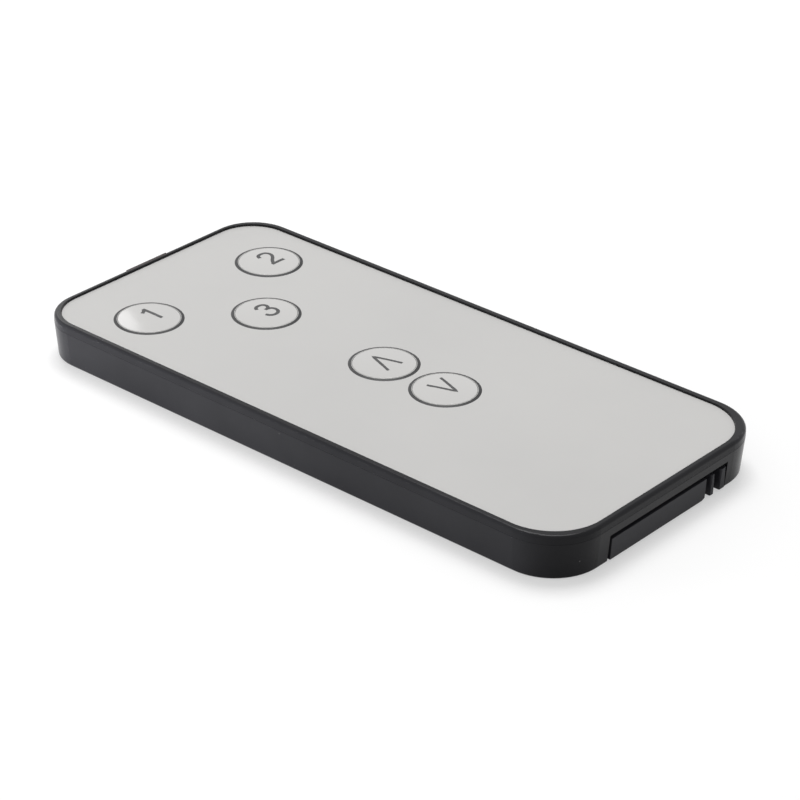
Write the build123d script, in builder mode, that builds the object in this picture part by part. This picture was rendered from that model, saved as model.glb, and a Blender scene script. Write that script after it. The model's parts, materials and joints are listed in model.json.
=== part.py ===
from build123d import *
import os

# Card remote control. Millimetres, +Z up, lying on its back.
# +Y points to the emitter end, -Y to the battery tray end, and the keys face +Z.
# The origin is under the middle of the whole object, on the surface it rests on.

os.makedirs("parts", exist_ok=True)

# Case
CASE_WIDTH = 40.0
OVERALL_LENGTH = 86.2
CASE_HEIGHT = 5.85
WINDOW_PROUD = 0.2
SEAM_HEIGHT = 4.75
WALL = 1.2
FLOOR = 0.7
EMITTER_CORNER_RADIUS = 6.1
TRAY_CORNER_RADIUS = 7.15
WALL_DRAFT = 4.8
BASE_EDGE_RADIUS = 0.35
SEAM_EDGE_RADIUS = 0.05

CASE_LENGTH = OVERALL_LENGTH - WINDOW_PROUD
TRAY_END = -OVERALL_LENGTH / 2
EMITTER_END = TRAY_END + CASE_LENGTH
CASE_MIDDLE = (TRAY_END + EMITTER_END) / 2

# Rim, deck and faceplate
SIDE_RIM = 0.98
TRAY_RIM = 0.94
EMITTER_RIM = 0.76
RIM_EDGE_RADIUS = 0.45
RIM_INNER_EDGE_RADIUS = 0.1
RIM_DRAFT = 2.0
PLATE_TOP = 5.55
DECK_TOP = 5.3
DECK_BOTTOM = 4.85
ADHESIVE = 0.06
PLATE_GAP = 0.04
PLATE_EMITTER_RADIUS = 5.45
PLATE_TRAY_RADIUS = 7.1

# Keys
KEY_RADIUS = 4.0
KEY_GAP = 0.05
KEY_RISE = 0.12
KEY_CROWN = 0.1
KEY_EDGE_RADIUS = 0.08
FLANGE_RADIUS = 4.19
FLANGE_TOP = 5.27
FLANGE_BOTTOM = 5.12
DECK_HOLE_RADIUS = 4.25
PLUNGER_RADIUS = 1.6
RING_OUTER_RADIUS = 4.54
RING_LAND = 0.12
RING_STEP = 0.02
RING_CUT = 0.5
NUMBER_KEY_SPACING = 22.1
NUMBER_ROW = 31.1
KEY_3_PLACE = 21.05
UP_KEY_PLACE = 0.9
DOWN_KEY_PLACE = -9.0

KEY_PLACES = {
    "1": (-NUMBER_KEY_SPACING / 2, NUMBER_ROW),
    "2": (NUMBER_KEY_SPACING / 2, NUMBER_ROW),
    "3": (0.0, KEY_3_PLACE),
    "up": (0.0, UP_KEY_PLACE),
    "down": (0.0, DOWN_KEY_PLACE),
}

# Lip and snap ridges that hold the two halves of the case together
LIP_CLEARANCE = 0.05
LIP_THICKNESS = 0.7
LIP_DEPTH = 0.8
LIP_BLEND = 0.1
RIDGE_LENGTH = 6.0
RIDGE_HEIGHT = 0.3
RIDGE_PROUD = 0.25
RIDGE_CLEARANCE = 0.05
RIDGE_MIDDLE = 4.25
RIDGE_PLACES = (-24.0, 4.0, 30.0)
WINDOW_LIP_GAP = 4.1

# Circuit board
BOARD_BOTTOM = 3.65
BOARD_THICKNESS = 0.8
BOARD_WIDTH = 35.2
BOARD_TRAY_EDGE = -40.7
BOARD_EMITTER_EDGE = 38.6
BOARD_CORNER_RADIUS = 5.0
LAMP_NOTCH_WIDTH = 5.2
LAMP_NOTCH_EDGE = 34.2
BOARD_TOP = BOARD_BOTTOM + BOARD_THICKNESS
POST_RADIUS = 1.5
PIN_RADIUS = 0.6
PIN_HOLE_RADIUS = 0.7
PIN_TOP = 4.35
POST_PLACES = ((-15.5, 33.5), (15.5, 33.5), (-15.5, -6.0), (15.5, -6.0), (-15.2, -35.5), (15.2, -35.5))
HOLD_DOWN_RADIUS = 1.2

# Snap domes and their film
DOME_RADIUS = 2.5
DOME_RISE = 0.3
DOME_THICKNESS = 0.08
FILM_THICKNESS = 0.06
FILM_HOLE_RADIUS = 2.6
FILM_WIDTH = 28.0
FILM_EMITTER_EDGE = 35.6
FILM_TRAY_EDGE = -13.0
FILM_CORNER_RADIUS = 2.0
FILM_NOTCH_WIDTH = 6.0
FILM_NOTCH_EDGE = 27.0
PLUNGER_GAP = 0.03

# Coin cell, 20 mm across and 2.5 mm thick
CELL_RADIUS = 10.0
CELL_THICKNESS = 2.5
CELL_SHEET = 0.25
CELL_CRIMP_RADIUS = 9.35
CELL_CAP_RADIUS = 8.9
CELL_CAP_BOTTOM = 0.6
CELL_CATHODE_TOP = 1.6
CELL_BOTTOM = 0.78
CELL_X = -0.2
CELL_Y = -31.3

# Battery slot in the case, and the tray
SLOT_LEFT = -10.95
SLOT_RIGHT = 11.75
SLOT_CEILING = 3.65
BAY_FLOOR = 0.45
BAY_LENGTH = 22.6
FLOOR_NOTCH_DEPTH = 5.0
RAIL_THICKNESS = 1.0
RAIL_TOP = 3.6
STOP_RIB = 1.0
CONTACT_GAP_BOTTOM = 1.0
CONTACT_GAP_LEFT = -2.7
CONTACT_GAP_RIGHT = 2.3

TRAY_FACE_SETBACK = 0.05
TRAY_FACE_LEAN = 0.15
TRAY_LEFT = -10.65
TRAY_FACE_RIGHT = 7.5
TRAY_RIGHT = 11.45
TRAY_TOP = 3.13
TRAY_FACE_BOTTOM = 0.3
TRAY_BOTTOM = 0.5
TRAY_RING = 0.55
TRAY_WEB_TOP = 0.75
TRAY_WEB_HOLE_RADIUS = 6.5
POCKET_RADIUS = 10.1
TRAY_FACE_BLOCK = 7.0
TRAY_FACE_CHAMFER = 0.5
TRAY_STEP_CLEARANCE = 0.2
TRAY_LEFT_SIDE = 7.0
TRAY_NOTCH_START = 8.0

# Latch finger
LATCH_PIVOT_X = 10.95
LATCH_PIVOT_Y = -32.0
LATCH_ARM_THICKNESS = 0.6
LATCH_ARM_TOP = 3.05
LATCH_TAB_LEFT = 8.57
LATCH_TAB_RIGHT = 11.45
LATCH_SHOULDER_RIGHT = 11.6
LATCH_SHOULDER_SETBACK = 0.35
LATCH_TAB_DEPTH = 1.7
LATCH_SOLE_DEPTH = 4.6
LATCH_SOLE_TOP = 0.9
LATCH_GROOVE_LEFT = 9.25
LATCH_GROOVE_RIGHT = 10.45
LATCH_GROOVE_DEPTH = 1.2
LATCH_RIB_RADIUS = 0.3
LATCH_NOSE_PROUD = 0.4
LATCH_NOSE_LENGTH = 1.4
LATCH_NOSE_PLACE = -39.2
LATCH_PIVOT_CLEARANCE = 0.05
LATCH_BLOCK_FRONT = -32.3
LATCH_BLOCK_REACH = 8.5

# Emitter window and lamp
WINDOW_WIDTH = 7.2
WINDOW_BOTTOM = 1.3
WINDOW_TOP = 5.7
WINDOW_FACE_THICKNESS = 0.7
WINDOW_EDGE_RADIUS = 0.15
LAMP_RADIUS = 1.5
LAMP_FLANGE_RADIUS = 1.9
LAMP_FLANGE_LENGTH = 1.0
LAMP_BASE = 35.2
LAMP_LENGTH = 5.2
LAMP_HEIGHT = 2.65
LEAD_WIDTH = 0.45
LEAD_PLACES = (-1.27, 1.27)
LEAD_BEND = 33.4
LEAD_TOP = 4.65
LEAD_HOLE_RADIUS = 0.4

# Battery contacts
CONTACT_THICKNESS = 0.15
CONTACT_WIDTH = 4.4
FACE_CONTACT_PATH = ((-38.0, 3.575), (-34.5, 3.575), (-31.5, 3.42), (-28.0, 3.42), (-27.0, 3.55))
SIDE_CONTACT_PATH = ((-16.5, 3.575), (-21.15, 3.575), (-21.15, 1.2))

# Parts on the underside of the board
CHIP_PLACE = (-7.0, 8.0)
CHIP_SIZE = (3.9, 9.9, 1.4)
CHIP_STANDOFF = 0.1
CHIP_LEG_COUNT = 8
CHIP_LEG_PITCH = 1.27
CHIP_LEG_WIDTH = 0.4
CHIP_LEG_THICKNESS = 0.18
CHIP_LEG_PATH = ((0, 2.75), (0.35, 2.75), (0.55, 3.56), (1.05, 3.56))
RESONATOR_PLACE = (7.5, 10.0)
RESONATOR_SIZE = (7.4, 3.2, 2.3)
RESONATOR_EDGE_RADIUS = 0.6
RESONATOR_LEAD_SIZE = (0.9, 0.6, 0.2)
TRANSISTOR_PLACE = (6.0, 26.0)
TRANSISTOR_SIZE = (2.9, 1.3, 1.0)
TRANSISTOR_LEG_SIZE = (0.4, 0.6, 0.15)
TRANSISTOR_LEG_SPACING = 0.95
RESISTOR_PLACES = ((-3.0, 27.0), (10.5, 24.0), (2.0, -2.0))
RESISTOR_SIZE = (2.0, 1.25, 0.5)
CAPACITOR_PLACES = ((-11.0, 22.0), (11.0, -10.0))
CAPACITOR_SIZE = (3.2, 1.6, 1.0)
END_CAP_LENGTH = 0.4
END_CAP_WRAP = 0.05


def case_outline(inset, height):
    """Plan outline of the case, moved in by inset, on the plane at a height."""
    with BuildSketch(Plane.XY.offset(height)) as outline:
        with Locations((0, CASE_MIDDLE)):
            Rectangle(CASE_WIDTH - 2 * inset, CASE_LENGTH - 2 * inset)
        fillet(outline.vertices().sort_by(Axis.Y)[-2:], EMITTER_CORNER_RADIUS - inset)
        fillet(outline.vertices().sort_by(Axis.Y)[:2], TRAY_CORNER_RADIUS - inset)
    return outline.sketch


def plate_outline(inset, height):
    """Plan outline of the faceplate's recess, moved in by inset, on the plane at a height."""
    half_width = CASE_WIDTH / 2 - SIDE_RIM - inset
    with BuildSketch(Plane.XY.offset(height)) as outline:
        flat_block(
            (-half_width, TRAY_END + TRAY_RIM + inset),
            (half_width, EMITTER_END - EMITTER_RIM - inset),
        )
        fillet(outline.vertices().sort_by(Axis.Y)[-2:], PLATE_EMITTER_RADIUS - inset)
        fillet(outline.vertices().sort_by(Axis.Y)[:2], PLATE_TRAY_RADIUS - inset)
    return outline.sketch


def block(low, high, mode=Mode.ADD):
    """A square block between two opposite corners, in the part being built."""
    sides = [top - bottom for bottom, top in zip(low, high)]
    middle = [(bottom + top) / 2 for bottom, top in zip(low, high)]
    with Locations(tuple(middle)):
        Box(*sides, mode=mode)


def round_post(place, radius, bottom, top, mode=Mode.ADD):
    """An upright round post or hole at a plan position, in the part being built."""
    with Locations((place[0], place[1], (bottom + top) / 2)):
        Cylinder(radius, top - bottom, mode=mode)


def flat_block(low, high, mode=Mode.ADD):
    """A rectangle between two opposite corners, in the sketch being drawn."""
    with Locations(((low[0] + high[0]) / 2, (low[1] + high[1]) / 2)):
        Rectangle(high[0] - low[0], high[1] - low[1], mode=mode)


def upright_plane(place):
    """Plane of a turned piece's half profile: across is the radius, up is the height."""
    return Plane(origin=(place[0], place[1], 0), x_dir=(1, 0, 0), z_dir=(0, -1, 0))


def lengthwise_plane(x):
    """Upright plane along the remote at one x: across is y, up is the height."""
    return Plane(origin=(x, 0, 0), x_dir=(0, 1, 0), z_dir=(1, 0, 0))


def upright_axis(place):
    """Upright axis through a plan position."""
    return Axis((place[0], place[1], 0), (0, 0, 1))


def write_part(part, label):
    """Label a finished piece and write its STEP file."""
    part.label = label
    export_step(part, f"parts/{label}.step")


# Bottom shell: drafted tray with the battery bay, its rails and the board posts
stop_front = TRAY_END + BAY_LENGTH
rail_left = SLOT_LEFT - RAIL_THICKNESS
rail_right = SLOT_RIGHT + RAIL_THICKNESS
below = -CASE_HEIGHT
beyond_tray_end = TRAY_END - WALL
beyond_emitter_end = EMITTER_END + WALL
with BuildPart() as bottom_shell:
    extrude(case_outline(0, SEAM_HEIGHT), amount=-SEAM_HEIGHT, taper=WALL_DRAFT)
    fillet(bottom_shell.faces().sort_by(Axis.Z)[0].edges(), BASE_EDGE_RADIUS)
    fillet(bottom_shell.faces().sort_by(Axis.Z)[-1].edges(), SEAM_EDGE_RADIUS)
    extrude(case_outline(WALL, FLOOR), amount=SEAM_HEIGHT - FLOOR, mode=Mode.SUBTRACT)
    block((rail_left, TRAY_END + WALL, FLOOR), (SLOT_LEFT, stop_front, RAIL_TOP))
    block((SLOT_RIGHT, TRAY_END + WALL, FLOOR), (rail_right, stop_front, RAIL_TOP))
    block((rail_left, stop_front, FLOOR), (rail_right, stop_front + STOP_RIB, RAIL_TOP))
    block(
        (CONTACT_GAP_LEFT, stop_front - STOP_RIB, CONTACT_GAP_BOTTOM),
        (CONTACT_GAP_RIGHT, stop_front + STOP_RIB, RAIL_TOP),
        Mode.SUBTRACT,
    )
    block((SLOT_LEFT, beyond_tray_end, BAY_FLOOR), (SLOT_RIGHT, stop_front, SLOT_CEILING), Mode.SUBTRACT)
    block(
        (SLOT_LEFT, beyond_tray_end, below),
        (SLOT_RIGHT, TRAY_END + FLOOR_NOTCH_DEPTH, FLOOR),
        Mode.SUBTRACT,
    )
    for place in POST_PLACES:
        round_post(place, POST_RADIUS, FLOOR, BOARD_BOTTOM)
        round_post(place, PIN_RADIUS, BOARD_BOTTOM, PIN_TOP)
    block(
        (-WINDOW_WIDTH / 2, EMITTER_END - WALL, WINDOW_BOTTOM),
        (WINDOW_WIDTH / 2, beyond_emitter_end, CASE_HEIGHT),
        Mode.SUBTRACT,
    )
    for side in (-1, 1):
        for place in RIDGE_PLACES:
            with Locations((side * (CASE_WIDTH / 2 - WALL), place, RIDGE_MIDDLE)):
                Box(
                    2 * (RIDGE_PROUD + RIDGE_CLEARANCE),
                    RIDGE_LENGTH + 2 * RIDGE_CLEARANCE,
                    RIDGE_HEIGHT + 2 * RIDGE_CLEARANCE,
                    mode=Mode.SUBTRACT,
                )
write_part(bottom_shell.part, "bottom_shell")

# Top frame: raised rim, recessed deck with the key holes, and the lip that snaps into the shell
lip_outer = WALL + LIP_CLEARANCE
lip_inner = lip_outer + LIP_THICKNESS
lip_bottom = SEAM_HEIGHT - LIP_DEPTH
with BuildPart() as top_frame:
    extrude(case_outline(0, SEAM_HEIGHT), amount=CASE_HEIGHT - SEAM_HEIGHT, taper=RIM_DRAFT)
    fillet(top_frame.faces().sort_by(Axis.Z)[-1].edges(), RIM_EDGE_RADIUS)
    fillet(top_frame.faces().sort_by(Axis.Z)[0].edges(), SEAM_EDGE_RADIUS)
    extrude(plate_outline(0, DECK_TOP), amount=CASE_HEIGHT - DECK_TOP, mode=Mode.SUBTRACT)
    rim_face = top_frame.faces().filter_by(Axis.Z).sort_by(Axis.Z)[-1]
    fillet(rim_face.inner_wires()[0].edges(), RIM_INNER_EDGE_RADIUS)
    extrude(case_outline(lip_outer, lip_bottom), amount=LIP_DEPTH + LIP_BLEND)
    extrude(case_outline(lip_inner, lip_bottom), amount=DECK_BOTTOM - lip_bottom, mode=Mode.SUBTRACT)
    for place in KEY_PLACES.values():
        round_post(place, DECK_HOLE_RADIUS, DECK_BOTTOM, DECK_TOP, Mode.SUBTRACT)
    for place in POST_PLACES:
        round_post(place, HOLD_DOWN_RADIUS, BOARD_TOP, DECK_BOTTOM)
    block(
        (-WINDOW_LIP_GAP, EMITTER_END - lip_inner, below),
        (WINDOW_LIP_GAP, beyond_emitter_end, SEAM_HEIGHT),
        Mode.SUBTRACT,
    )
    block(
        (-WINDOW_WIDTH / 2, EMITTER_END + WINDOW_PROUD - WINDOW_FACE_THICKNESS, below),
        (WINDOW_WIDTH / 2, beyond_emitter_end, CASE_HEIGHT),
        Mode.SUBTRACT,
    )
    for side in (-1, 1):
        for place in RIDGE_PLACES:
            with Locations((side * (CASE_WIDTH / 2 - lip_outer), place, RIDGE_MIDDLE)):
                Box(2 * RIDGE_PROUD, RIDGE_LENGTH, RIDGE_HEIGHT)
write_part(top_frame.part, "top_frame")

# Adhesive layer on the deck, open under each key
with BuildPart() as faceplate_adhesive:
    extrude(plate_outline(PLATE_GAP, DECK_TOP), amount=ADHESIVE)
    for place in KEY_PLACES.values():
        round_post(place, KEY_RADIUS + 2 * KEY_GAP, DECK_TOP, DECK_TOP + ADHESIVE, Mode.SUBTRACT)
write_part(faceplate_adhesive.part, "faceplate_adhesive")

# Faceplate: thin sheet, raised in a sloping ring round each key
plate_bottom = DECK_TOP + ADHESIVE
ring_top = PLATE_TOP + KEY_RISE - RING_STEP
hole_radius = KEY_RADIUS + KEY_GAP
with BuildPart() as faceplate:
    extrude(plate_outline(PLATE_GAP, plate_bottom), amount=PLATE_TOP - plate_bottom)
    for place in KEY_PLACES.values():
        with BuildSketch(upright_plane(place)) as ring_profile:
            Polygon(
                (hole_radius - RING_CUT, plate_bottom),
                (RING_OUTER_RADIUS, plate_bottom),
                (RING_OUTER_RADIUS, PLATE_TOP),
                (hole_radius + RING_LAND, ring_top),
                (hole_radius - RING_CUT, ring_top),
                align=None,
            )
        revolve(ring_profile.sketch, upright_axis(place))
        round_post(place, hole_radius, plate_bottom, ring_top, Mode.SUBTRACT)
write_part(faceplate.part, "faceplate")


def key_pad(place):
    """A round pad with a low crown, a retaining flange and the plunger that meets its dome."""
    edge_top = PLATE_TOP + KEY_RISE
    plunger_bottom = BOARD_TOP + DOME_RISE + PLUNGER_GAP
    with BuildPart() as pad:
        with BuildSketch(upright_plane(place)) as profile:
            with BuildLine():
                TangentArc((0, edge_top + KEY_CROWN), (KEY_RADIUS, edge_top), tangent=(1, 0))
                Polyline(
                    (KEY_RADIUS, edge_top),
                    (KEY_RADIUS, FLANGE_TOP),
                    (FLANGE_RADIUS, FLANGE_TOP),
                    (FLANGE_RADIUS, FLANGE_BOTTOM),
                    (PLUNGER_RADIUS, FLANGE_BOTTOM),
                    (PLUNGER_RADIUS, plunger_bottom),
                    (0, plunger_bottom),
                    (0, edge_top + KEY_CROWN),
                )
            make_face()
            fillet(profile.vertices().group_by(Axis.Y)[-2], KEY_EDGE_RADIUS)
        revolve(profile.sketch, upright_axis(place))
    return pad.part


def snap_dome(place):
    """A shallow sheet-metal dome that stands on the board by its edge."""
    radius = (DOME_RADIUS**2 + DOME_RISE**2) / (2 * DOME_RISE)
    centre = BOARD_TOP + DOME_RISE - radius
    with BuildPart() as dome:
        with Locations((place[0], place[1], centre)):
            Sphere(radius)
            Sphere(radius - DOME_THICKNESS, mode=Mode.SUBTRACT)
        split(bisect_by=Plane.XY.offset(BOARD_TOP), keep=Keep.TOP)
    return dome.part


for name, place in KEY_PLACES.items():
    write_part(key_pad(place), f"key_{name}")
    write_part(snap_dome(place), f"dome_{name}")

# Film that holds the domes on the board
with BuildPart() as dome_film:
    with BuildSketch(Plane.XY.offset(BOARD_TOP)):
        with Locations((0, (FILM_EMITTER_EDGE + FILM_TRAY_EDGE) / 2)):
            RectangleRounded(FILM_WIDTH, FILM_EMITTER_EDGE - FILM_TRAY_EDGE, FILM_CORNER_RADIUS)
        flat_block(
            (-FILM_NOTCH_WIDTH / 2, FILM_NOTCH_EDGE),
            (FILM_NOTCH_WIDTH / 2, FILM_EMITTER_EDGE),
            Mode.SUBTRACT,
        )
        with Locations(*KEY_PLACES.values()):
            Circle(FILM_HOLE_RADIUS, mode=Mode.SUBTRACT)
    extrude(amount=FILM_THICKNESS)
write_part(dome_film.part, "dome_film")

# Circuit board, notched round the lamp and drilled for the locating pins and the lamp's leads
with BuildPart() as circuit_board:
    with BuildSketch(Plane.XY.offset(BOARD_BOTTOM)):
        with Locations((0, (BOARD_TRAY_EDGE + BOARD_EMITTER_EDGE) / 2)):
            RectangleRounded(BOARD_WIDTH, BOARD_EMITTER_EDGE - BOARD_TRAY_EDGE, BOARD_CORNER_RADIUS)
        flat_block(
            (-LAMP_NOTCH_WIDTH / 2, LAMP_NOTCH_EDGE),
            (LAMP_NOTCH_WIDTH / 2, BOARD_EMITTER_EDGE),
            Mode.SUBTRACT,
        )
        with Locations(*POST_PLACES):
            Circle(PIN_HOLE_RADIUS, mode=Mode.SUBTRACT)
        with Locations(*[(x, LEAD_BEND) for x in LEAD_PLACES]):
            Circle(LEAD_HOLE_RADIUS, mode=Mode.SUBTRACT)
    extrude(amount=BOARD_THICKNESS)
write_part(circuit_board.part, "circuit_board")

face_front = TRAY_END + TRAY_FACE_SETBACK


def lean_face(left, right):
    """Cut the front between two x back towards its foot, in the part being built."""
    with BuildSketch(lengthwise_plane(left)) as wedge:
        Polygon(
            (face_front, TRAY_TOP),
            (face_front + TRAY_FACE_LEAN, TRAY_FACE_BOTTOM),
            (face_front, TRAY_FACE_BOTTOM),
            align=None,
        )
    extrude(wedge.sketch, amount=right - left, mode=Mode.SUBTRACT)


# Battery tray: ring round the cell, face block at the slot, and the block that carries the latch
face_block_back = TRAY_END + FLOOR_NOTCH_DEPTH - TRAY_STEP_CLEARANCE
pivot_socket = LATCH_ARM_THICKNESS / 2 + LATCH_PIVOT_CLEARANCE
with BuildPart() as battery_tray:
    with BuildSketch(Plane.XY.offset(TRAY_BOTTOM)):
        with Locations((CELL_X, CELL_Y)):
            Circle(POCKET_RADIUS + TRAY_RING)
        flat_block((TRAY_LEFT, face_front), (TRAY_FACE_RIGHT, face_front + TRAY_FACE_BLOCK))
        flat_block((TRAY_LEFT, face_front), (CELL_X, CELL_Y + TRAY_LEFT_SIDE))
        flat_block((CELL_X, LATCH_BLOCK_FRONT), (TRAY_RIGHT, CELL_Y + LATCH_BLOCK_REACH))
        flat_block((TRAY_LEFT - TRAY_RING, TRAY_END), (TRAY_LEFT, 0), Mode.SUBTRACT)
    extrude(amount=TRAY_TOP - TRAY_BOTTOM)
    with BuildSketch(Plane.XZ.offset(-face_block_back)):
        Polygon(
            (TRAY_LEFT, TRAY_FACE_BOTTOM),
            (TRAY_FACE_RIGHT - TRAY_FACE_CHAMFER, TRAY_FACE_BOTTOM),
            (TRAY_FACE_RIGHT, TRAY_BOTTOM),
            (TRAY_LEFT, TRAY_BOTTOM),
            align=None,
        )
    extrude(amount=face_block_back - face_front)
    lean_face(TRAY_LEFT, TRAY_FACE_RIGHT)
    round_post((CELL_X, CELL_Y), POCKET_RADIUS, TRAY_WEB_TOP, TRAY_TOP, Mode.SUBTRACT)
    round_post((CELL_X, CELL_Y), TRAY_WEB_HOLE_RADIUS, 0, TRAY_WEB_TOP, Mode.SUBTRACT)
    block(
        (CONTACT_GAP_LEFT, CELL_Y + TRAY_NOTCH_START, TRAY_WEB_TOP),
        (CONTACT_GAP_RIGHT, 0, TRAY_TOP),
        Mode.SUBTRACT,
    )
    round_post((LATCH_PIVOT_X, LATCH_PIVOT_Y), pivot_socket, TRAY_BOTTOM, TRAY_TOP, Mode.SUBTRACT)
    block(
        (LATCH_PIVOT_X - pivot_socket, LATCH_BLOCK_FRONT, TRAY_BOTTOM),
        (LATCH_PIVOT_X + pivot_socket, LATCH_PIVOT_Y, TRAY_TOP),
        Mode.SUBTRACT,
    )
write_part(battery_tray.part, "battery_tray")

# Latch: flexing arm with a rounded root, a two-ribbed grip tab with a shoulder, and the catch nose
arm_left = LATCH_PIVOT_X - LATCH_ARM_THICKNESS / 2
arm_right = LATCH_PIVOT_X + LATCH_ARM_THICKNESS / 2
tab_back = face_front + LATCH_TAB_DEPTH
with BuildPart() as tray_latch:
    with BuildSketch(Plane.XY.offset(TRAY_BOTTOM)):
        with Locations((LATCH_PIVOT_X, LATCH_PIVOT_Y)):
            Circle(LATCH_ARM_THICKNESS / 2)
        flat_block((arm_left, tab_back), (arm_right, LATCH_PIVOT_Y))
        Polygon(
            (arm_right, LATCH_NOSE_PLACE - LATCH_NOSE_LENGTH / 2),
            (arm_right + LATCH_NOSE_PROUD, LATCH_NOSE_PLACE),
            (arm_right + LATCH_NOSE_PROUD, LATCH_NOSE_PLACE + LATCH_NOSE_LENGTH / 4),
            (arm_right, LATCH_NOSE_PLACE + LATCH_NOSE_LENGTH / 2),
            align=None,
        )
    extrude(amount=LATCH_ARM_TOP - TRAY_BOTTOM)
    with BuildSketch(Plane.XY.offset(TRAY_FACE_BOTTOM)) as tab_outline:
        flat_block((LATCH_TAB_LEFT, face_front), (LATCH_TAB_RIGHT, tab_back))
        flat_block(
            (LATCH_TAB_RIGHT, face_front + LATCH_SHOULDER_SETBACK),
            (LATCH_SHOULDER_RIGHT, tab_back),
        )
        flat_block(
            (LATCH_GROOVE_LEFT, face_front),
            (LATCH_GROOVE_RIGHT, face_front + LATCH_GROOVE_DEPTH),
            Mode.SUBTRACT,
        )
        fillet(tab_outline.vertices().group_by(Axis.Y)[0], LATCH_RIB_RADIUS)
    extrude(amount=TRAY_TOP - TRAY_FACE_BOTTOM)
    lean_face(LATCH_TAB_LEFT, LATCH_TAB_RIGHT)
    block(
        (LATCH_TAB_LEFT, tab_back, TRAY_FACE_BOTTOM),
        (LATCH_TAB_RIGHT, face_front + LATCH_SOLE_DEPTH, LATCH_SOLE_TOP),
    )
write_part(tray_latch.part, "tray_latch")


def cell_piece(label, *profile):
    """A round piece of the coin cell, turned from a half profile of (radius, height) points."""
    with BuildPart() as piece:
        with BuildSketch(upright_plane((CELL_X, CELL_Y))) as half:
            Polygon(*[(radius, CELL_BOTTOM + height) for radius, height in profile], align=None)
        revolve(half.sketch, upright_axis((CELL_X, CELL_Y)))
    write_part(piece.part, label)


# Coin cell: a crimped can, the cap and its gasket, and the two electrodes sealed inside
cell_piece(
    "cell_can",
    (0, 0),
    (CELL_RADIUS, 0),
    (CELL_RADIUS, CELL_THICKNESS - CELL_SHEET),
    (CELL_CRIMP_RADIUS, CELL_THICKNESS - CELL_SHEET),
    (CELL_CRIMP_RADIUS, CELL_THICKNESS - 2 * CELL_SHEET),
    (CELL_RADIUS - CELL_SHEET, CELL_THICKNESS - 2 * CELL_SHEET),
    (CELL_RADIUS - CELL_SHEET, CELL_SHEET),
    (0, CELL_SHEET),
)
cell_piece(
    "cell_cap",
    (0, CELL_THICKNESS),
    (CELL_CAP_RADIUS, CELL_THICKNESS),
    (CELL_CAP_RADIUS, CELL_CAP_BOTTOM),
    (CELL_CAP_RADIUS - CELL_SHEET, CELL_CAP_BOTTOM),
    (CELL_CAP_RADIUS - CELL_SHEET, CELL_THICKNESS - CELL_SHEET),
    (0, CELL_THICKNESS - CELL_SHEET),
)
cell_piece(
    "cell_gasket",
    (CELL_CAP_RADIUS, CELL_SHEET),
    (CELL_RADIUS - CELL_SHEET, CELL_SHEET),
    (CELL_RADIUS - CELL_SHEET, CELL_THICKNESS - 2 * CELL_SHEET),
    (CELL_CRIMP_RADIUS, CELL_THICKNESS - 2 * CELL_SHEET),
    (CELL_CRIMP_RADIUS, CELL_THICKNESS - CELL_SHEET),
    (CELL_CAP_RADIUS, CELL_THICKNESS - CELL_SHEET),
)
cathode_radius = CELL_CAP_RADIUS - 2 * CELL_SHEET
cell_piece(
    "cell_cathode",
    (0, CELL_SHEET),
    (cathode_radius, CELL_SHEET),
    (cathode_radius, CELL_CATHODE_TOP),
    (0, CELL_CATHODE_TOP),
)
cell_piece(
    "cell_anode",
    (0, CELL_CATHODE_TOP),
    (cathode_radius, CELL_CATHODE_TOP),
    (cathode_radius, CELL_THICKNESS - CELL_SHEET),
    (0, CELL_THICKNESS - CELL_SHEET),
)


def bent_strip(label, path):
    """A sheet-metal contact, bent along a path of (y, z) points and centred on the cell."""
    with BuildPart() as strip:
        with BuildSketch(lengthwise_plane(CELL_X)) as section:
            with BuildLine() as centre_line:
                Polyline(*path)
            trace(centre_line.line, CONTACT_THICKNESS)
        extrude(section.sketch, amount=CONTACT_WIDTH / 2, both=True)
    write_part(strip.part, label)


bent_strip("cell_contact_face", FACE_CONTACT_PATH)
bent_strip("cell_contact_side", SIDE_CONTACT_PATH)

# Infrared lamp: a flanged lens that lies along the remote, and its two leads
tip = LAMP_BASE + LAMP_LENGTH
with BuildPart() as emitter_lamp:
    with BuildSketch(Plane.XY.offset(LAMP_HEIGHT)) as lens:
        with BuildLine():
            Polyline(
                (0, tip),
                (0, LAMP_BASE),
                (LAMP_FLANGE_RADIUS, LAMP_BASE),
                (LAMP_FLANGE_RADIUS, LAMP_BASE + LAMP_FLANGE_LENGTH),
                (LAMP_RADIUS, LAMP_BASE + LAMP_FLANGE_LENGTH),
                (LAMP_RADIUS, tip - LAMP_RADIUS),
            )
            TangentArc((LAMP_RADIUS, tip - LAMP_RADIUS), (0, tip), tangent=(0, 1))
        make_face()
    revolve(lens.sketch, Axis((0, 0, LAMP_HEIGHT), (0, 1, 0)))
write_part(emitter_lamp.part, "emitter_lamp")

with BuildPart() as emitter_leads:
    for x in LEAD_PLACES:
        with BuildSketch(lengthwise_plane(x)) as section:
            with BuildLine() as centre_line:
                Polyline((LAMP_BASE, LAMP_HEIGHT), (LEAD_BEND, LAMP_HEIGHT), (LEAD_BEND, LEAD_TOP))
            trace(centre_line.line, LEAD_WIDTH)
        extrude(section.sketch, amount=LEAD_WIDTH / 2, both=True)
write_part(emitter_leads.part, "emitter_leads")

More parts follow.
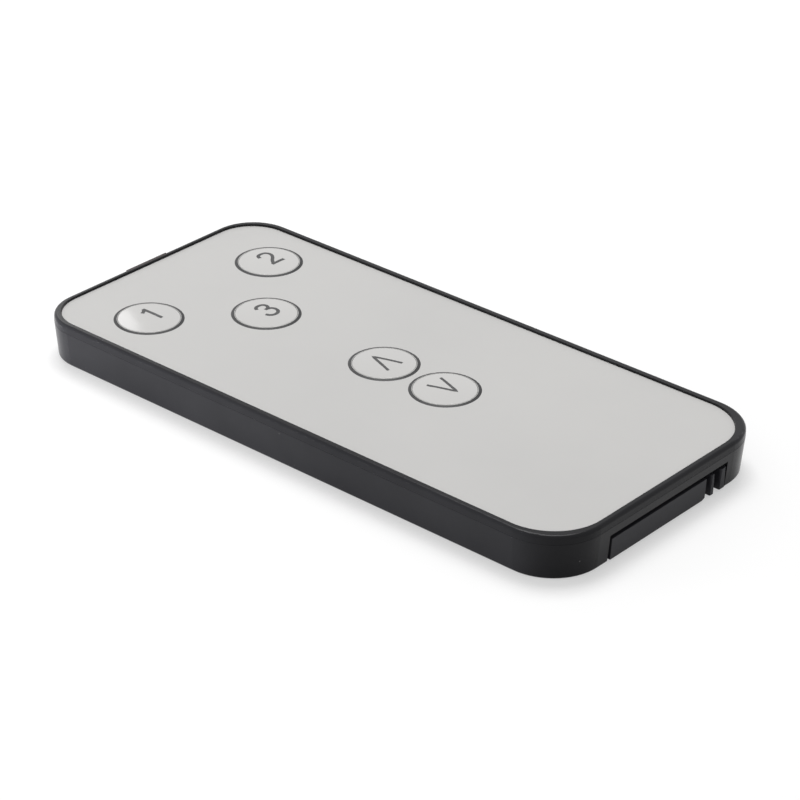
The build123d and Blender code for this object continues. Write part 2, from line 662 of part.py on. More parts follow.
# Emitter window: a plug through the end wall with a taller outer face
window_front = EMITTER_END + WINDOW_PROUD
with BuildPart() as emitter_window:
    block(
        (-WINDOW_WIDTH / 2, EMITTER_END - WALL, WINDOW_BOTTOM),
        (WINDOW_WIDTH / 2, window_front, SEAM_HEIGHT),
    )
    block(
        (-WINDOW_WIDTH / 2, window_front - WINDOW_FACE_THICKNESS, SEAM_HEIGHT),
        (WINDOW_WIDTH / 2, window_front, WINDOW_TOP),
    )
    fillet(emitter_window.faces().sort_by(Axis.Y)[-1].edges(), WINDOW_EDGE_RADIUS)
write_part(emitter_window.part, "emitter_window")


def hung_block(place, size, gap=0.0):
    """A block hung from the board's underside, centred on a plan position, a gap below it."""
    top = BOARD_BOTTOM - gap
    low = (place[0] - size[0] / 2, place[1] - size[1] / 2, top - size[2])
    high = (place[0] + size[0] / 2, place[1] + size[1] / 2, top)
    block(low, high)


# Encoder chip and its two rows of legs
with BuildPart() as encoder_chip:
    hung_block(CHIP_PLACE, CHIP_SIZE, CHIP_STANDOFF)
write_part(encoder_chip.part, "encoder_chip")

with BuildPart() as encoder_chip_legs:
    for side in (-1, 1):
        for count in range(CHIP_LEG_COUNT):
            leg_y = CHIP_PLACE[1] + (count - (CHIP_LEG_COUNT - 1) / 2) * CHIP_LEG_PITCH
            root = CHIP_PLACE[0] + side * CHIP_SIZE[0] / 2
            leg_plane = Plane(origin=(root, leg_y, 0), x_dir=(side, 0, 0), z_dir=(0, -side, 0))
            with BuildSketch(leg_plane) as section:
                with BuildLine() as centre_line:
                    Polyline(*CHIP_LEG_PATH)
                trace(centre_line.line, CHIP_LEG_THICKNESS)
            extrude(section.sketch, amount=CHIP_LEG_WIDTH / 2, both=True)
write_part(encoder_chip_legs.part, "encoder_chip_legs")

# Ceramic resonator that sets the chip's clock, on two solder tabs
with BuildPart() as timing_resonator:
    hung_block(RESONATOR_PLACE, RESONATOR_SIZE, RESONATOR_LEAD_SIZE[2])
    fillet(timing_resonator.edges().filter_by(Axis.Z), RESONATOR_EDGE_RADIUS)
write_part(timing_resonator.part, "timing_resonator")

with BuildPart() as resonator_leads:
    for side in (-1, 1):
        tab_x = RESONATOR_PLACE[0] + side * RESONATOR_SIZE[0] / 3
        hung_block((tab_x, RESONATOR_PLACE[1]), RESONATOR_LEAD_SIZE)
write_part(resonator_leads.part, "resonator_leads")

# Transistor that drives the lamp, and its three legs
with BuildPart() as driver_transistor:
    hung_block(TRANSISTOR_PLACE, TRANSISTOR_SIZE, CHIP_STANDOFF)
write_part(driver_transistor.part, "driver_transistor")

leg_reach = (TRANSISTOR_SIZE[1] + TRANSISTOR_LEG_SIZE[1]) / 2
with BuildPart() as transistor_legs:
    for x, y in ((-TRANSISTOR_LEG_SPACING, -leg_reach), (TRANSISTOR_LEG_SPACING, -leg_reach), (0, leg_reach)):
        hung_block((TRANSISTOR_PLACE[0] + x, TRANSISTOR_PLACE[1] + y), TRANSISTOR_LEG_SIZE)
write_part(transistor_legs.part, "transistor_legs")


def chip_bodies(label, places, size):
    """Small square-cornered parts soldered to the board, without their metal ends."""
    with BuildPart() as bodies:
        for place in places:
            hung_block(place, (size[0] - 2 * END_CAP_LENGTH, size[1], size[2]))
    write_part(bodies.part, label)


chip_bodies("chip_resistors", RESISTOR_PLACES, RESISTOR_SIZE)
chip_bodies("chip_capacitors", CAPACITOR_PLACES, CAPACITOR_SIZE)

with BuildPart() as chip_end_caps:
    for places, size in ((RESISTOR_PLACES, RESISTOR_SIZE), (CAPACITOR_PLACES, CAPACITOR_SIZE)):
        cap_size = (END_CAP_LENGTH, size[1] + END_CAP_WRAP, size[2] + END_CAP_WRAP)
        for place in places:
            for side in (-1, 1):
                cap_x = place[0] + side * (size[0] - END_CAP_LENGTH) / 2
                hung_block((cap_x, place[1]), cap_size)
write_part(chip_end_caps.part, "chip_end_caps")
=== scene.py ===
import json
import math

import bmesh
import bpy
from mathutils import Matrix, Quaternion, Vector


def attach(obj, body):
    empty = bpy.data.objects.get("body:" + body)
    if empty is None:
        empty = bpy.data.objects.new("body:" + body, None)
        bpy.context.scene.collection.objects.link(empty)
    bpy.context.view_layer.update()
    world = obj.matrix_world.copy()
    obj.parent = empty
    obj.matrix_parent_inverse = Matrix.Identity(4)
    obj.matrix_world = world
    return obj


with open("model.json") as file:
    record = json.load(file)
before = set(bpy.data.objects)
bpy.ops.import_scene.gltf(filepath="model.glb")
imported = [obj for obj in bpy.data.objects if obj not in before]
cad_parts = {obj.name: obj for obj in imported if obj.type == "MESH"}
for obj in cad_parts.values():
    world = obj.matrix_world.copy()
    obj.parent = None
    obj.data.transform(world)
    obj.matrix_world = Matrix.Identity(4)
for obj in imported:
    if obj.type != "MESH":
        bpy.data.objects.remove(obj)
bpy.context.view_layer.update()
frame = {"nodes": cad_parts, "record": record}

# Lengths are in metres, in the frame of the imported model:
# +Z out of the keys, +Y to the emitter end, -Y to the battery tray end.
MM = 0.001

# Camera of the photograph, which is square
CAMERA_TURN = math.radians(49.047)
CAMERA_RISE = math.radians(28.859)
CAMERA_ROLL = math.radians(0.689)
CAMERA_DISTANCE = 364.26 * MM
CAMERA_TARGET = Vector((1.331, -0.594, 0.45)) * MM
CAMERA_NEAREST = 0.01
CAMERA_FARTHEST = 10
FOCAL_PIXELS = 2921
PICTURE_PIXELS = 800
SENSOR_WIDTH = 36

# Keys, as the faceplate carries them
KEY_RADIUS = 4.0 * MM
KEY_EDGE_HEIGHT = 5.67 * MM
KEY_CROWN = 0.1 * MM
KEY_PLACES = {
    "1": Vector((-11.05, 31.1)) * MM,
    "2": Vector((11.05, 31.1)) * MM,
    "3": Vector((0.0, 21.05)) * MM,
    "up": Vector((0.0, 0.9)) * MM,
    "down": Vector((0.0, -9.0)) * MM,
}
RING_INK_INNER = 4.12 * MM
RING_INK_OUTER = 4.5 * MM
RING_INK_BLUR = 0.03 * MM

# Marks printed on the keys: stroke width, then the points of each stroke,
# all in millimetres from the key's centre
DIGIT_STROKE = 0.48
CHEVRON_STROKE = 0.39
KEY_MARKS = {
    "1": (DIGIT_STROKE, [
        [(1.05, -1.29), (1.05, 2.21)],
        [(1.05, 2.11), (0.73, 1.68), (0.13, 1.36)],
    ]),
    "2": (DIGIT_STROKE, [
        [
            (-0.27, 1.36), (-0.02, 1.93), (0.73, 2.13), (1.43, 1.81),
            (1.56, 1.16), (1.18, 0.46), (0.38, -0.29), (-0.22, -1.04),
        ],
        [(-0.44, -1.04), (1.8, -1.04)],
    ]),
    "3": (DIGIT_STROKE, [
        [
            (-0.35, 1.34), (-0.05, 1.79), (0.6, 1.96), (1.25, 1.66),
            (1.28, 1.02), (0.82, 0.6), (0.4, 0.57),
        ],
        [
            (0.7, 0.58), (1.32, 0.29), (1.5, -0.36), (1.18, -0.96),
            (0.5, -1.21), (-0.2, -0.96), (-0.5, -0.36),
        ],
    ]),
    "up": (CHEVRON_STROKE, [[(-1.2, -1.74), (0.2, 2.11), (1.42, -1.74)]]),
    "down": (CHEVRON_STROKE, [[(-0.88, 2.19), (0.37, -1.61), (1.72, 2.19)]]),
}
INK_LIFT = 0.012 * MM
MERGE_DISTANCE = 0.001 * MM
STRAIGHT_STEPS = 10
BEND_STEPS = 12
LONGEST_STRAIGHT_STROKE = 3

# Shared surface effects; each range is the pair of values that a mask is stretched between
CLOUD_RANGE = (0.3, 0.7)
FILM_CLOUD_SCALE = 35.0
PIT_SPACING = 0.45
PIT_RANGE = (0.0, 0.22)
PIT_DEPTH = 0.25
SCRATCH_TURNS = (0.5, -0.9)
SCRATCH_STRETCHES = (0.03, 0.045)
SCRATCH_RANGE = (0.64, 0.7)
SPECK_RANGE = (0.12, 0.04)
SPECK_RARITY = 0.86
RUB_BEND_RANGE = (0.995, 0.85)
RUB_BREAK_SCALE = 700.0
RUB_BREAK_RANGE = (0.35, 0.65)

# What the effects do to moulded plastic and metal, and to printed film
MOULDED_SCRATCHES = 0.5
MOULDED_SCRATCH_ROUGHNESS = 0.12
MOULDED_RELIEF = 0.02 * MM
MOULDED_DUST = (0.45, 0.44, 0.42)
RUB_GAIN = 1.6
RUB_LIFT = 0.01
FILM_SCRATCHES = 0.5
FILM_SCRATCH_ROUGHNESS = 0.06
FILM_RELIEF = 0.01 * MM
FILM_SPECKS = 0.12
FILM_DUST = (0.3, 0.3, 0.3)

# Places of the colour sockets on a Mix node
MIX_FIRST_COLOUR = 6
MIX_SECOND_COLOUR = 7
MIX_COLOUR_RESULT = 2

# Floor and surroundings
FLOOR_RADIUS = 4.0
FLOOR_SIDES = 96
FLOOR_GAP = 0.01 * MM
GROUND_GLOW = 0.455
GROUND_SEEN = 0.555
GROUND_COLOUR = 0.52
GROUND_GLOSS = 0.3
GROUND_FADE_START = 0.16
GROUND_FADE_END = 0.32
WORLD_LIGHT = 0.46
WORLD_SEEN = 1.0

# Soft lights: name, centre, target, size, power in watts, and whether gloss mirrors them
PANELS = (
    ("overhead_panel", (0.3, 0.3, 1.05), (0, 0, 0), (0.6, 0.6), 8.0, True),
    ("back_panel", (0.183, 0.348, 0.218), (0, 0, 0), (0.135, 0.11), 0.1, True),
    ("left_strip", (-0.11, 0.1, 0.004), (-0.02, 0.03, 0.003), (0.1, 0.006), 0.55, False),
)


def place_camera():
    """Camera at the photograph's viewing angle."""
    data = bpy.data.cameras.new("camera")
    data.sensor_width = SENSOR_WIDTH
    data.lens = FOCAL_PIXELS / PICTURE_PIXELS * SENSOR_WIDTH
    data.clip_start = CAMERA_NEAREST
    data.clip_end = CAMERA_FARTHEST
    camera = bpy.data.objects.new("camera", data)
    bpy.context.scene.collection.objects.link(camera)
    back = Vector((
        -math.sin(CAMERA_TURN) * math.cos(CAMERA_RISE),
        -math.cos(CAMERA_TURN) * math.cos(CAMERA_RISE),
        math.sin(CAMERA_RISE),
    ))
    camera.location = CAMERA_TARGET + CAMERA_DISTANCE * back
    camera.rotation_mode = "QUATERNION"
    level = (-back).to_track_quat("-Z", "Y")
    camera.rotation_quaternion = level @ Quaternion((0, 0, 1), CAMERA_ROLL)
    bpy.context.scene.camera = camera


# Shader nodes

def math_node(tree, operation, first, second, clamp=False):
    """A Math node on two sockets or numbers; returns its output socket."""
    node = tree.nodes.new("ShaderNodeMath")
    node.operation = operation
    node.use_clamp = clamp
    for socket, value in zip(node.inputs, (first, second)):
        if isinstance(value, bpy.types.NodeSocket):
            tree.links.new(value, socket)
        else:
            socket.default_value = value
    return node.outputs[0]


def noise(tree, place, scale, detail=3.0, roughness=0.5):
    """A Noise Texture over a place; returns its value socket."""
    node = tree.nodes.new("ShaderNodeTexNoise")
    node.inputs["Detail"].default_value = detail
    node.inputs["Roughness"].default_value = roughness
    tree.links.new(place, node.inputs["Vector"])
    if isinstance(scale, bpy.types.NodeSocket):
        tree.links.new(scale, node.inputs["Scale"])
    else:
        node.inputs["Scale"].default_value = scale
    return node.outputs["Fac"]


def ramp(tree, value, low, high):
    """Value stretched so that low becomes 0 and high becomes 1, and held between them."""
    node = tree.nodes.new("ShaderNodeMapRange")
    node.inputs["From Min"].default_value = low
    node.inputs["From Max"].default_value = high
    tree.links.new(value, node.inputs["Value"])
    return node.outputs["Result"]


def blend_values(tree, mask, low, high):
    """Number that goes from low to high with a mask."""
    node = tree.nodes.new("ShaderNodeMapRange")
    node.inputs["To Min"].default_value = low
    node.inputs["To Max"].default_value = high
    tree.links.new(mask, node.inputs["Value"])
    return node.outputs["Result"]


def blend_colours(tree, mask, low, high):
    """Colour that goes from low to high with a mask."""
    node = tree.nodes.new("ShaderNodeMix")
    node.data_type = "RGBA"
    tree.links.new(mask, node.inputs["Factor"])
    ends = ((node.inputs[MIX_FIRST_COLOUR], low), (node.inputs[MIX_SECOND_COLOUR], high))
    for socket, value in ends:
        if isinstance(value, bpy.types.NodeSocket):
            tree.links.new(value, socket)
        else:
            socket.default_value = (*value, 1)
    return node.outputs[MIX_COLOUR_RESULT]


# Shared surface effects

def start_group(name, inputs, output):
    """An empty shader node group with number inputs, one number output and its own place socket."""
    group = bpy.data.node_groups.new(name, "ShaderNodeTree")
    for label, default in inputs.items():
        socket = group.interface.new_socket(label, in_out="INPUT", socket_type="NodeSocketFloat")
        socket.default_value = default
    group.interface.new_socket(output, in_out="OUTPUT", socket_type="NodeSocketFloat")
    entry = group.nodes.new("NodeGroupInput")
    leave = group.nodes.new("NodeGroupOutput")
    place = group.nodes.new("ShaderNodeTexCoord").outputs["Object"]
    return group, entry.outputs, leave.inputs[output], place


def make_mottle_group():
    """Slow cloudy variation of a moulded or printed surface."""
    group, given, result, place = start_group("cloudy_variation", {"Scale": 60.0}, "Mask")
    clouds = noise(group, place, given["Scale"], detail=4.0, roughness=0.6)
    group.links.new(ramp(group, clouds, *CLOUD_RANGE), result)
    return group


def make_grain_group():
    """Fine even grain that a mould leaves on plastic, with a few deeper pits."""
    group, given, result, place = start_group("moulded_grain", {"Scale": 5000.0}, "Height")
    fine = noise(group, place, given["Scale"], detail=2.0)
    cells = group.nodes.new("ShaderNodeTexVoronoi")
    cells.feature = "F1"
    group.links.new(place, cells.inputs["Vector"])
    group.links.new(math_node(group, "MULTIPLY", given["Scale"], PIT_SPACING), cells.inputs["Scale"])
    pits = ramp(group, cells.outputs["Distance"], *PIT_RANGE)
    deep = math_node(group, "MULTIPLY", pits, PIT_DEPTH)
    group.links.new(math_node(group, "ADD", fine, deep), result)
    return group


def make_scratch_group():
    """Hair-thin rubbing marks in two directions."""
    inputs = {"Scale": 260.0, "Amount": 0.5}
    group, given, result, place = start_group("hair_scratches", inputs, "Mask")
    marks = []
    for turn, stretch in zip(SCRATCH_TURNS, SCRATCH_STRETCHES):
        mapping = group.nodes.new("ShaderNodeMapping")
        mapping.inputs["Rotation"].default_value = (0, 0, turn)
        mapping.inputs["Scale"].default_value = (1, stretch, 1)
        group.links.new(place, mapping.inputs["Vector"])
        lines = noise(group, mapping.outputs["Vector"], given["Scale"], detail=6.0, roughness=0.75)
        marks.append(ramp(group, lines, *SCRATCH_RANGE))
    both = math_node(group, "MAXIMUM", *marks)
    group.links.new(math_node(group, "MULTIPLY", both, given["Amount"]), result)
    return group


def make_dust_group():
    """Sparse small specks of dust."""
    inputs = {"Scale": 900.0, "Amount": 0.3}
    group, given, result, place = start_group("dust_specks", inputs, "Mask")
    cells = group.nodes.new("ShaderNodeTexVoronoi")
    group.links.new(place, cells.inputs["Vector"])
    group.links.new(given["Scale"], cells.inputs["Scale"])
    spot = ramp(group, cells.outputs["Distance"], *SPECK_RANGE)
    chosen = math_node(group, "GREATER_THAN", cells.outputs["Color"], SPECK_RARITY)
    specks = math_node(group, "MULTIPLY", spot, chosen)
    group.links.new(math_node(group, "MULTIPLY", specks, given["Amount"]), result)
    return group


def make_edge_group():
    """Rubbed edges, found by comparing the surface with a rounded copy of itself."""
    group, given, result, place = start_group("edge_rub", {"Radius": 0.12 * MM}, "Mask")
    rounded = group.nodes.new("ShaderNodeBevel")
    rounded.samples = 4
    group.links.new(given["Radius"], rounded.inputs["Radius"])
    straight = group.nodes.new("ShaderNodeNewGeometry")
    dot = group.nodes.new("ShaderNodeVectorMath")
    dot.operation = "DOT_PRODUCT"
    group.links.new(rounded.outputs["Normal"], dot.inputs[0])
    group.links.new(straight.outputs["Normal"], dot.inputs[1])
    worn = ramp(group, dot.outputs["Value"], *RUB_BEND_RANGE)
    broken = ramp(group, noise(group, place, RUB_BREAK_SCALE, detail=4.0), *RUB_BREAK_RANGE)
    group.links.new(math_node(group, "MULTIPLY", worn, broken), result)
    return group


GROUPS = {
    "mottle": make_mottle_group(),
    "grain": make_grain_group(),
    "scratches": make_scratch_group(),
    "dust": make_dust_group(),
    "edges": make_edge_group(),
}


def use_group(tree, name, output, **values):
    """One of the shared effects, placed in a material with its own values."""
    node = tree.nodes.new("ShaderNodeGroup")
    node.node_tree = GROUPS[name]
    for label, value in values.items():
        node.inputs[label].default_value = value
    return node.outputs[output]


# Materials

def start_material(name, **constants):
    """A material with a Principled shader whose constant sockets are set."""
    material = bpy.data.materials.new(name)
    material.use_nodes = True
    tree = material.node_tree
    shader = tree.nodes["Principled BSDF"]
    for label, value in constants.items():
        shader.inputs[label.replace("_", " ")].default_value = value
    return material, tree, shader


def scratched_roughness(tree, clouds, roughness, scratches, gain):
    """Roughness that varies with the clouds and rises along the scratches."""
    marks = use_group(tree, "scratches", "Mask", Amount=scratches)
    rough = blend_values(tree, clouds, *roughness)
    return math_node(tree, "ADD", rough, math_node(tree, "MULTIPLY", marks, gain), clamp=True)


def add_grain(tree, shader, grain, distance):
    """Relief of the moulded grain, given as its scale and strength."""
    scale, strength = grain
    bump = tree.nodes.new("ShaderNodeBump")
    bump.inputs["Strength"].default_value = strength
    bump.inputs["Distance"].default_value = distance
    tree.links.new(use_group(tree, "grain", "Height", Scale=scale), bump.inputs["Height"])
    tree.links.new(bump.outputs["Normal"], shader.inputs["Normal"])


def moulded(name, colours, roughness, grain=(5000.0, 0.3), dust=0.2, edges=0.0, **constants):
    """Moulded or pressed material: cloudy colour, grain, rubbed edges, scratches and dust."""
    material, tree, shader = start_material(name, **constants)
    clouds = use_group(tree, "mottle", "Mask")
    colour = blend_colours(tree, clouds, *colours)
    if edges:
        rub = use_group(tree, "edges", "Mask")
        paler = [RUB_GAIN * channel + RUB_LIFT for channel in colours[1]]
        colour = blend_colours(tree, math_node(tree, "MULTIPLY", rub, edges), colour, paler)
    specks = use_group(tree, "dust", "Mask", Amount=dust)
    colour = blend_colours(tree, specks, colour, MOULDED_DUST)
    rough = scratched_roughness(
        tree, clouds, roughness, MOULDED_SCRATCHES, MOULDED_SCRATCH_ROUGHNESS,
    )
    tree.links.new(colour, shader.inputs["Base Color"])
    tree.links.new(rough, shader.inputs["Roughness"])
    add_grain(tree, shader, grain, MOULDED_RELIEF)
    return material


def ring_mask(tree):
    """1 on the printed ring round each key, 0 elsewhere."""
    place = tree.nodes.new("ShaderNodeTexCoord").outputs["Object"]
    flat = tree.nodes.new("ShaderNodeVectorMath")
    flat.operation = "MULTIPLY"
    flat.inputs[1].default_value = (1, 1, 0)
    tree.links.new(place, flat.inputs[0])
    nearest = None
    for centre in KEY_PLACES.values():
        distance = tree.nodes.new("ShaderNodeVectorMath")
        distance.operation = "DISTANCE"
        distance.inputs[1].default_value = (*centre, 0)
        tree.links.new(flat.outputs["Vector"], distance.inputs[0])
        value = distance.outputs["Value"]
        nearest = value if nearest is None else math_node(tree, "MINIMUM", nearest, value)
    ink = ramp(tree, nearest, RING_INK_INNER - RING_INK_BLUR, RING_INK_INNER)
    gone = ramp(tree, nearest, RING_INK_OUTER, RING_INK_OUTER + RING_INK_BLUR)
    return math_node(tree, "SUBTRACT", ink, gone, clamp=True)


def printed_film(name, colours, roughness, grain, ring_ink=None, **constants):
    """Fine-textured membrane film, printed with the dark rings where it has a ring ink."""
    material, tree, shader = start_material(name, **constants)
    clouds = use_group(tree, "mottle", "Mask", Scale=FILM_CLOUD_SCALE)
    colour = blend_colours(tree, clouds, *colours)
    specks = use_group(tree, "dust", "Mask", Amount=FILM_SPECKS)
    colour = blend_colours(tree, specks, colour, FILM_DUST)
    if ring_ink:
        colour = blend_colours(tree, ring_mask(tree), colour, ring_ink)
    rough = scratched_roughness(tree, clouds, roughness, FILM_SCRATCHES, FILM_SCRATCH_ROUGHNESS)
    tree.links.new(colour, shader.inputs["Base Color"])
    tree.links.new(rough, shader.inputs["Roughness"])
    add_grain(tree, shader, grain, FILM_RELIEF)
    return material


# Each material: two colours, two roughnesses, then its grain and gloss where they differ
MATERIALS = {
    "case_plastic": moulded(
        "case_plastic", ((0.01, 0.01, 0.0116), (0.015, 0.015, 0.017)), (0.18, 0.24),
        grain=(4200.0, 0.22), edges=0.3, Specular_IOR_Level=0.13,
    ),
    "tray_plastic": moulded(
        "tray_plastic", ((0.024, 0.024, 0.028), (0.033, 0.033, 0.038)), (0.34, 0.42),
        grain=(4200.0, 0.25), edges=0.2, Specular_IOR_Level=0.13,
    ),
    "faceplate_film": printed_film(
        "faceplate_film", ((0.538, 0.533, 0.524), (0.562, 0.556, 0.545)), (0.4, 0.48),
        grain=(9000.0, 0.12), ring_ink=(0.014, 0.014, 0.015), Specular_IOR_Level=0.3,
    ),
    "key_film": printed_film(
        "key_film", ((0.565, 0.559, 0.549), (0.589, 0.582, 0.57)), (0.08, 0.11),
        grain=(9000.0, 0.04), Coat_Roughness=0.08,
    ),
    "ink": moulded(
        "ink", ((0.014, 0.014, 0.015), (0.024, 0.024, 0.025)), (0.4, 0.5),
        grain=(9000.0, 0.2), dust=0.1,
    ),
    "adhesive": moulded("adhesive", ((0.6, 0.59, 0.55), (0.7, 0.69, 0.64)), (0.5, 0.65)),
    "window_plastic": moulded(
        "window_plastic", ((0.016, 0.006, 0.006), (0.024, 0.009, 0.009)), (0.2, 0.28),
        grain=(3000.0, 0.05), Specular_IOR_Level=0.25,
    ),
    "dome_steel": moulded(
        "dome_steel", ((0.5, 0.49, 0.46), (0.62, 0.61, 0.58)), (0.25, 0.35), Metallic=1.0,
    ),
    "clear_film": moulded("clear_film", ((0.62, 0.62, 0.58), (0.72, 0.72, 0.68)), (0.2, 0.3)),
    "board_laminate": moulded(
        "board_laminate", ((0.02, 0.1, 0.035), (0.03, 0.14, 0.05)), (0.25, 0.35),
    ),
    "chip_plastic": moulded(
        "chip_plastic", ((0.015, 0.015, 0.015), (0.03, 0.03, 0.03)), (0.5, 0.62),
    ),
    "tinned_metal": moulded(
        "tinned_metal", ((0.55, 0.55, 0.54), (0.7, 0.7, 0.68)), (0.25, 0.4), Metallic=1.0,
    ),
    "resonator_coating": moulded(
        "resonator_coating", ((0.5, 0.22, 0.03), (0.62, 0.3, 0.05)), (0.3, 0.45),
    ),
    "resistor_ceramic": moulded(
        "resistor_ceramic", ((0.02, 0.02, 0.024), (0.04, 0.04, 0.05)), (0.25, 0.35),
    ),
    "capacitor_ceramic": moulded(
        "capacitor_ceramic", ((0.36, 0.24, 0.13), (0.46, 0.32, 0.19)), (0.4, 0.5),
    ),
    "lamp_lens": moulded(
        "lamp_lens", ((0.2, 0.22, 0.36), (0.28, 0.3, 0.45)), (0.04, 0.08), grain=(2000.0, 0.02),
    ),
    "spring_metal": moulded(
        "spring_metal", ((0.62, 0.58, 0.48), (0.72, 0.69, 0.6)), (0.22, 0.34), Metallic=1.0,
    ),
    "cell_steel": moulded(
        "cell_steel", ((0.6, 0.6, 0.6), (0.72, 0.72, 0.71)), (0.2, 0.32), Metallic=1.0,
    ),
    "gasket_rubber": moulded(
        "gasket_rubber", ((0.06, 0.06, 0.06), (0.1, 0.1, 0.1)), (0.6, 0.75),
    ),
    "cell_metal": moulded(
        "cell_metal", ((0.5, 0.5, 0.52), (0.6, 0.6, 0.62)), (0.35, 0.5), Metallic=1.0,
    ),
    "cell_paste": moulded("cell_paste", ((0.02, 0.02, 0.02), (0.04, 0.04, 0.04)), (0.8, 0.9)),
}


def dress_nodes():
    """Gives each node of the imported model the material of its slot."""
    for row in frame["record"]["subparts"]:
        node = frame["nodes"][row["node"]]
        node.data.materials.clear()
        node.data.materials.append(MATERIALS[row["material_slot"]])


# Marks on the keys

def crown_height(x, y):
    """Height of a key's domed top at a place measured from its centre."""
    return KEY_EDGE_HEIGHT + KEY_CROWN * (1 - (x * x + y * y) / KEY_RADIUS**2)


def split_straight(points):
    """The corners of a straight stroke, with points between them so that it follows the crown."""
    split = [points[0]]
    for start, end in zip(points, points[1:]):
        for step in range(1, STRAIGHT_STEPS + 1):
            part = step / STRAIGHT_STEPS
            split.append(tuple(a + (b - a) * part for a, b in zip(start, end)))
    return split


def stroke_curve(name, points, width):
    """A flat ribbon of even width along points: straight if they are few, else smoothly bent."""
    curve = bpy.data.curves.new(name, "CURVE")
    curve.dimensions = "3D"
    curve.twist_mode = "Z_UP"
    curve.extrude = width * MM / 2
    curve.resolution_u = BEND_STEPS
    handle = "AUTO"
    if len(points) <= LONGEST_STRAIGHT_STROKE:
        handle = "VECTOR"
        points = split_straight(points)
    spline = curve.splines.new("BEZIER")
    spline.bezier_points.add(len(points) - 1)
    for knot, point in zip(spline.bezier_points, points):
        knot.co = (point[0] * MM, point[1] * MM, 0)
        knot.handle_left_type = handle
        knot.handle_right_type = handle
        knot.tilt = math.pi / 2
    return bpy.data.objects.new(name, curve)


def print_mark(key, width, strokes):
    """The printed mark of one key, laid on its crown as a thin layer of ink."""
    name = f"mark_{key}"
    shape = bmesh.new()
    for stroke in strokes:
        ribbon = stroke_curve(name, stroke, width)
        bpy.context.scene.collection.objects.link(ribbon)
        bpy.context.view_layer.update()
        flat = bpy.data.meshes.new_from_object(ribbon)
        shape.from_mesh(flat)
        bpy.data.objects.remove(ribbon)
        bpy.data.meshes.remove(flat)
    centre = KEY_PLACES[key]
    bmesh.ops.remove_doubles(shape, verts=shape.verts, dist=MERGE_DISTANCE)
    for vert in shape.verts:
        vert.co.z = crown_height(vert.co.x, vert.co.y) + INK_LIFT
        vert.co.x += centre.x
        vert.co.y += centre.y
    bmesh.ops.recalc_face_normals(shape, faces=shape.faces)
    mesh = bpy.data.meshes.new(name)
    shape.to_mesh(mesh)
    shape.free()
    mark = bpy.data.objects.new(name, mesh)
    bpy.context.scene.collection.objects.link(mark)
    mark.data.materials.append(MATERIALS["ink"])
    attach(mark, f"pad_{key}")


# Floor, surroundings and light

def background_rays(tree):
    """1 for the rays that show the background: direct to the camera, mirrored or through glass."""
    rays = tree.nodes.new("ShaderNodeLightPath").outputs
    seen = math_node(tree, "MAXIMUM", rays["Is Camera Ray"], rays["Is Transmission Ray"])
    return math_node(tree, "MAXIMUM", seen, rays["Is Glossy Ray"])


def mix_shaders(tree, share, first, second):
    """A Mix Shader of two shader nodes; returns the node."""
    node = tree.nodes.new("ShaderNodeMixShader")
    tree.links.new(share, node.inputs["Fac"])
    tree.links.new(first.outputs[0], node.inputs[1])
    tree.links.new(second.outputs[0], node.inputs[2])
    return node


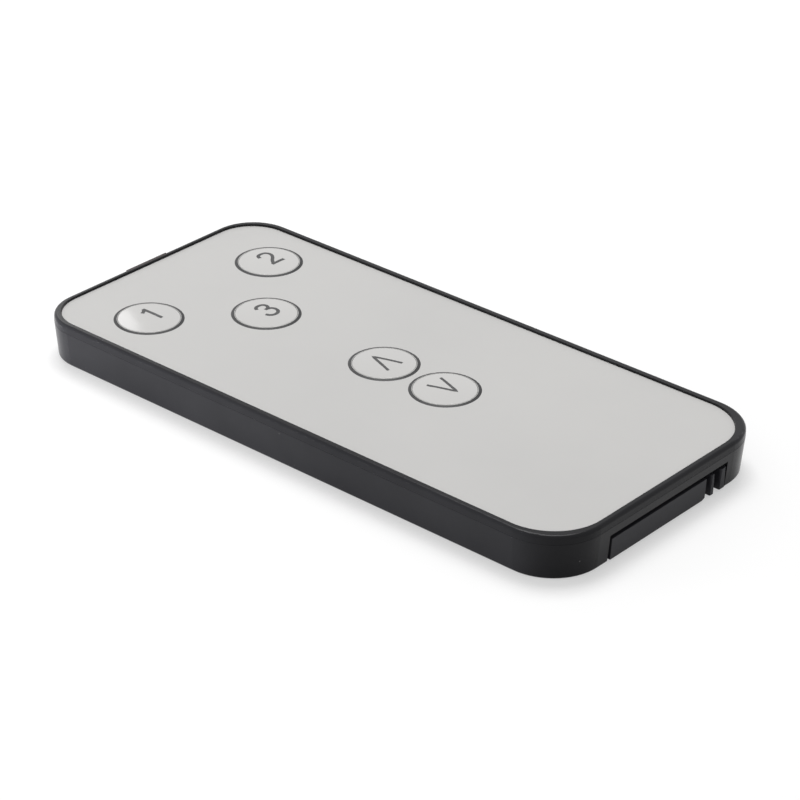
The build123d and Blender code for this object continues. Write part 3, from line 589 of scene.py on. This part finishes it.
def ground_material():
    """Pale ground that shows the object's shadow and fades to plain white around it."""
    material, tree, plain = start_material("pale_ground", Roughness=GROUND_GLOSS)
    plain.inputs["Base Color"].default_value = (GROUND_COLOUR, GROUND_COLOUR, GROUND_COLOUR, 1)
    glow = tree.nodes.new("ShaderNodeEmission")
    glow.inputs["Strength"].default_value = GROUND_GLOW
    veil = tree.nodes.new("ShaderNodeBsdfDiffuse")
    veil.inputs["Color"].default_value = (GROUND_SEEN, GROUND_SEEN, GROUND_SEEN, 1)
    shadowed = tree.nodes.new("ShaderNodeAddShader")
    tree.links.new(glow.outputs[0], shadowed.inputs[0])
    tree.links.new(veil.outputs[0], shadowed.inputs[1])
    place = tree.nodes.new("ShaderNodeTexCoord").outputs["Object"]
    distance = tree.nodes.new("ShaderNodeVectorMath")
    distance.operation = "LENGTH"
    tree.links.new(place, distance.inputs[0])
    away = ramp(tree, distance.outputs["Value"], GROUND_FADE_START, GROUND_FADE_END)
    white = tree.nodes.new("ShaderNodeEmission")
    seen = mix_shaders(tree, away, shadowed, white)
    ground = mix_shaders(tree, background_rays(tree), plain, seen)
    tree.links.new(ground.outputs[0], tree.nodes["Material Output"].inputs["Surface"])
    return material


def lay_floor():
    """Round floor under the object."""
    shape = bmesh.new()
    drop = Matrix.Translation((0, 0, -FLOOR_GAP))
    bmesh.ops.create_circle(
        shape, cap_ends=True, segments=FLOOR_SIDES, radius=FLOOR_RADIUS, matrix=drop,
    )
    mesh = bpy.data.meshes.new("floor")
    shape.to_mesh(mesh)
    shape.free()
    floor = bpy.data.objects.new("floor", mesh)
    bpy.context.scene.collection.objects.link(floor)
    mesh.materials.append(ground_material())


def light_world():
    """Even pale surroundings, which the camera and reflections see as plain white."""
    world = bpy.data.worlds.new("studio")
    bpy.context.scene.world = world
    world.use_nodes = True
    tree = world.node_tree
    background = tree.nodes["Background"]
    background.inputs["Color"].default_value = (1, 1, 1, 1)
    strength = blend_values(tree, background_rays(tree), WORLD_LIGHT, WORLD_SEEN)
    tree.links.new(strength, background.inputs["Strength"])


def hang_panel(name, centre, target, size, power, mirrored):
    """A soft rectangular light that faces a target, with or without its own reflection."""
    data = bpy.data.lights.new(name, "AREA")
    data.shape = "RECTANGLE"
    data.size, data.size_y = size
    data.energy = power
    panel = bpy.data.objects.new(name, data)
    bpy.context.scene.collection.objects.link(panel)
    panel.visible_glossy = mirrored
    panel.location = centre
    direction = Vector(target) - Vector(centre)
    panel.rotation_euler = direction.to_track_quat("-Z", "Y").to_euler()


place_camera()
dress_nodes()
for key, (width, strokes) in KEY_MARKS.items():
    print_mark(key, width, strokes)
lay_floor()
light_world()
for panel_row in PANELS:
    hang_panel(*panel_row)
bpy.context.scene.view_settings.view_transform = "Standard"
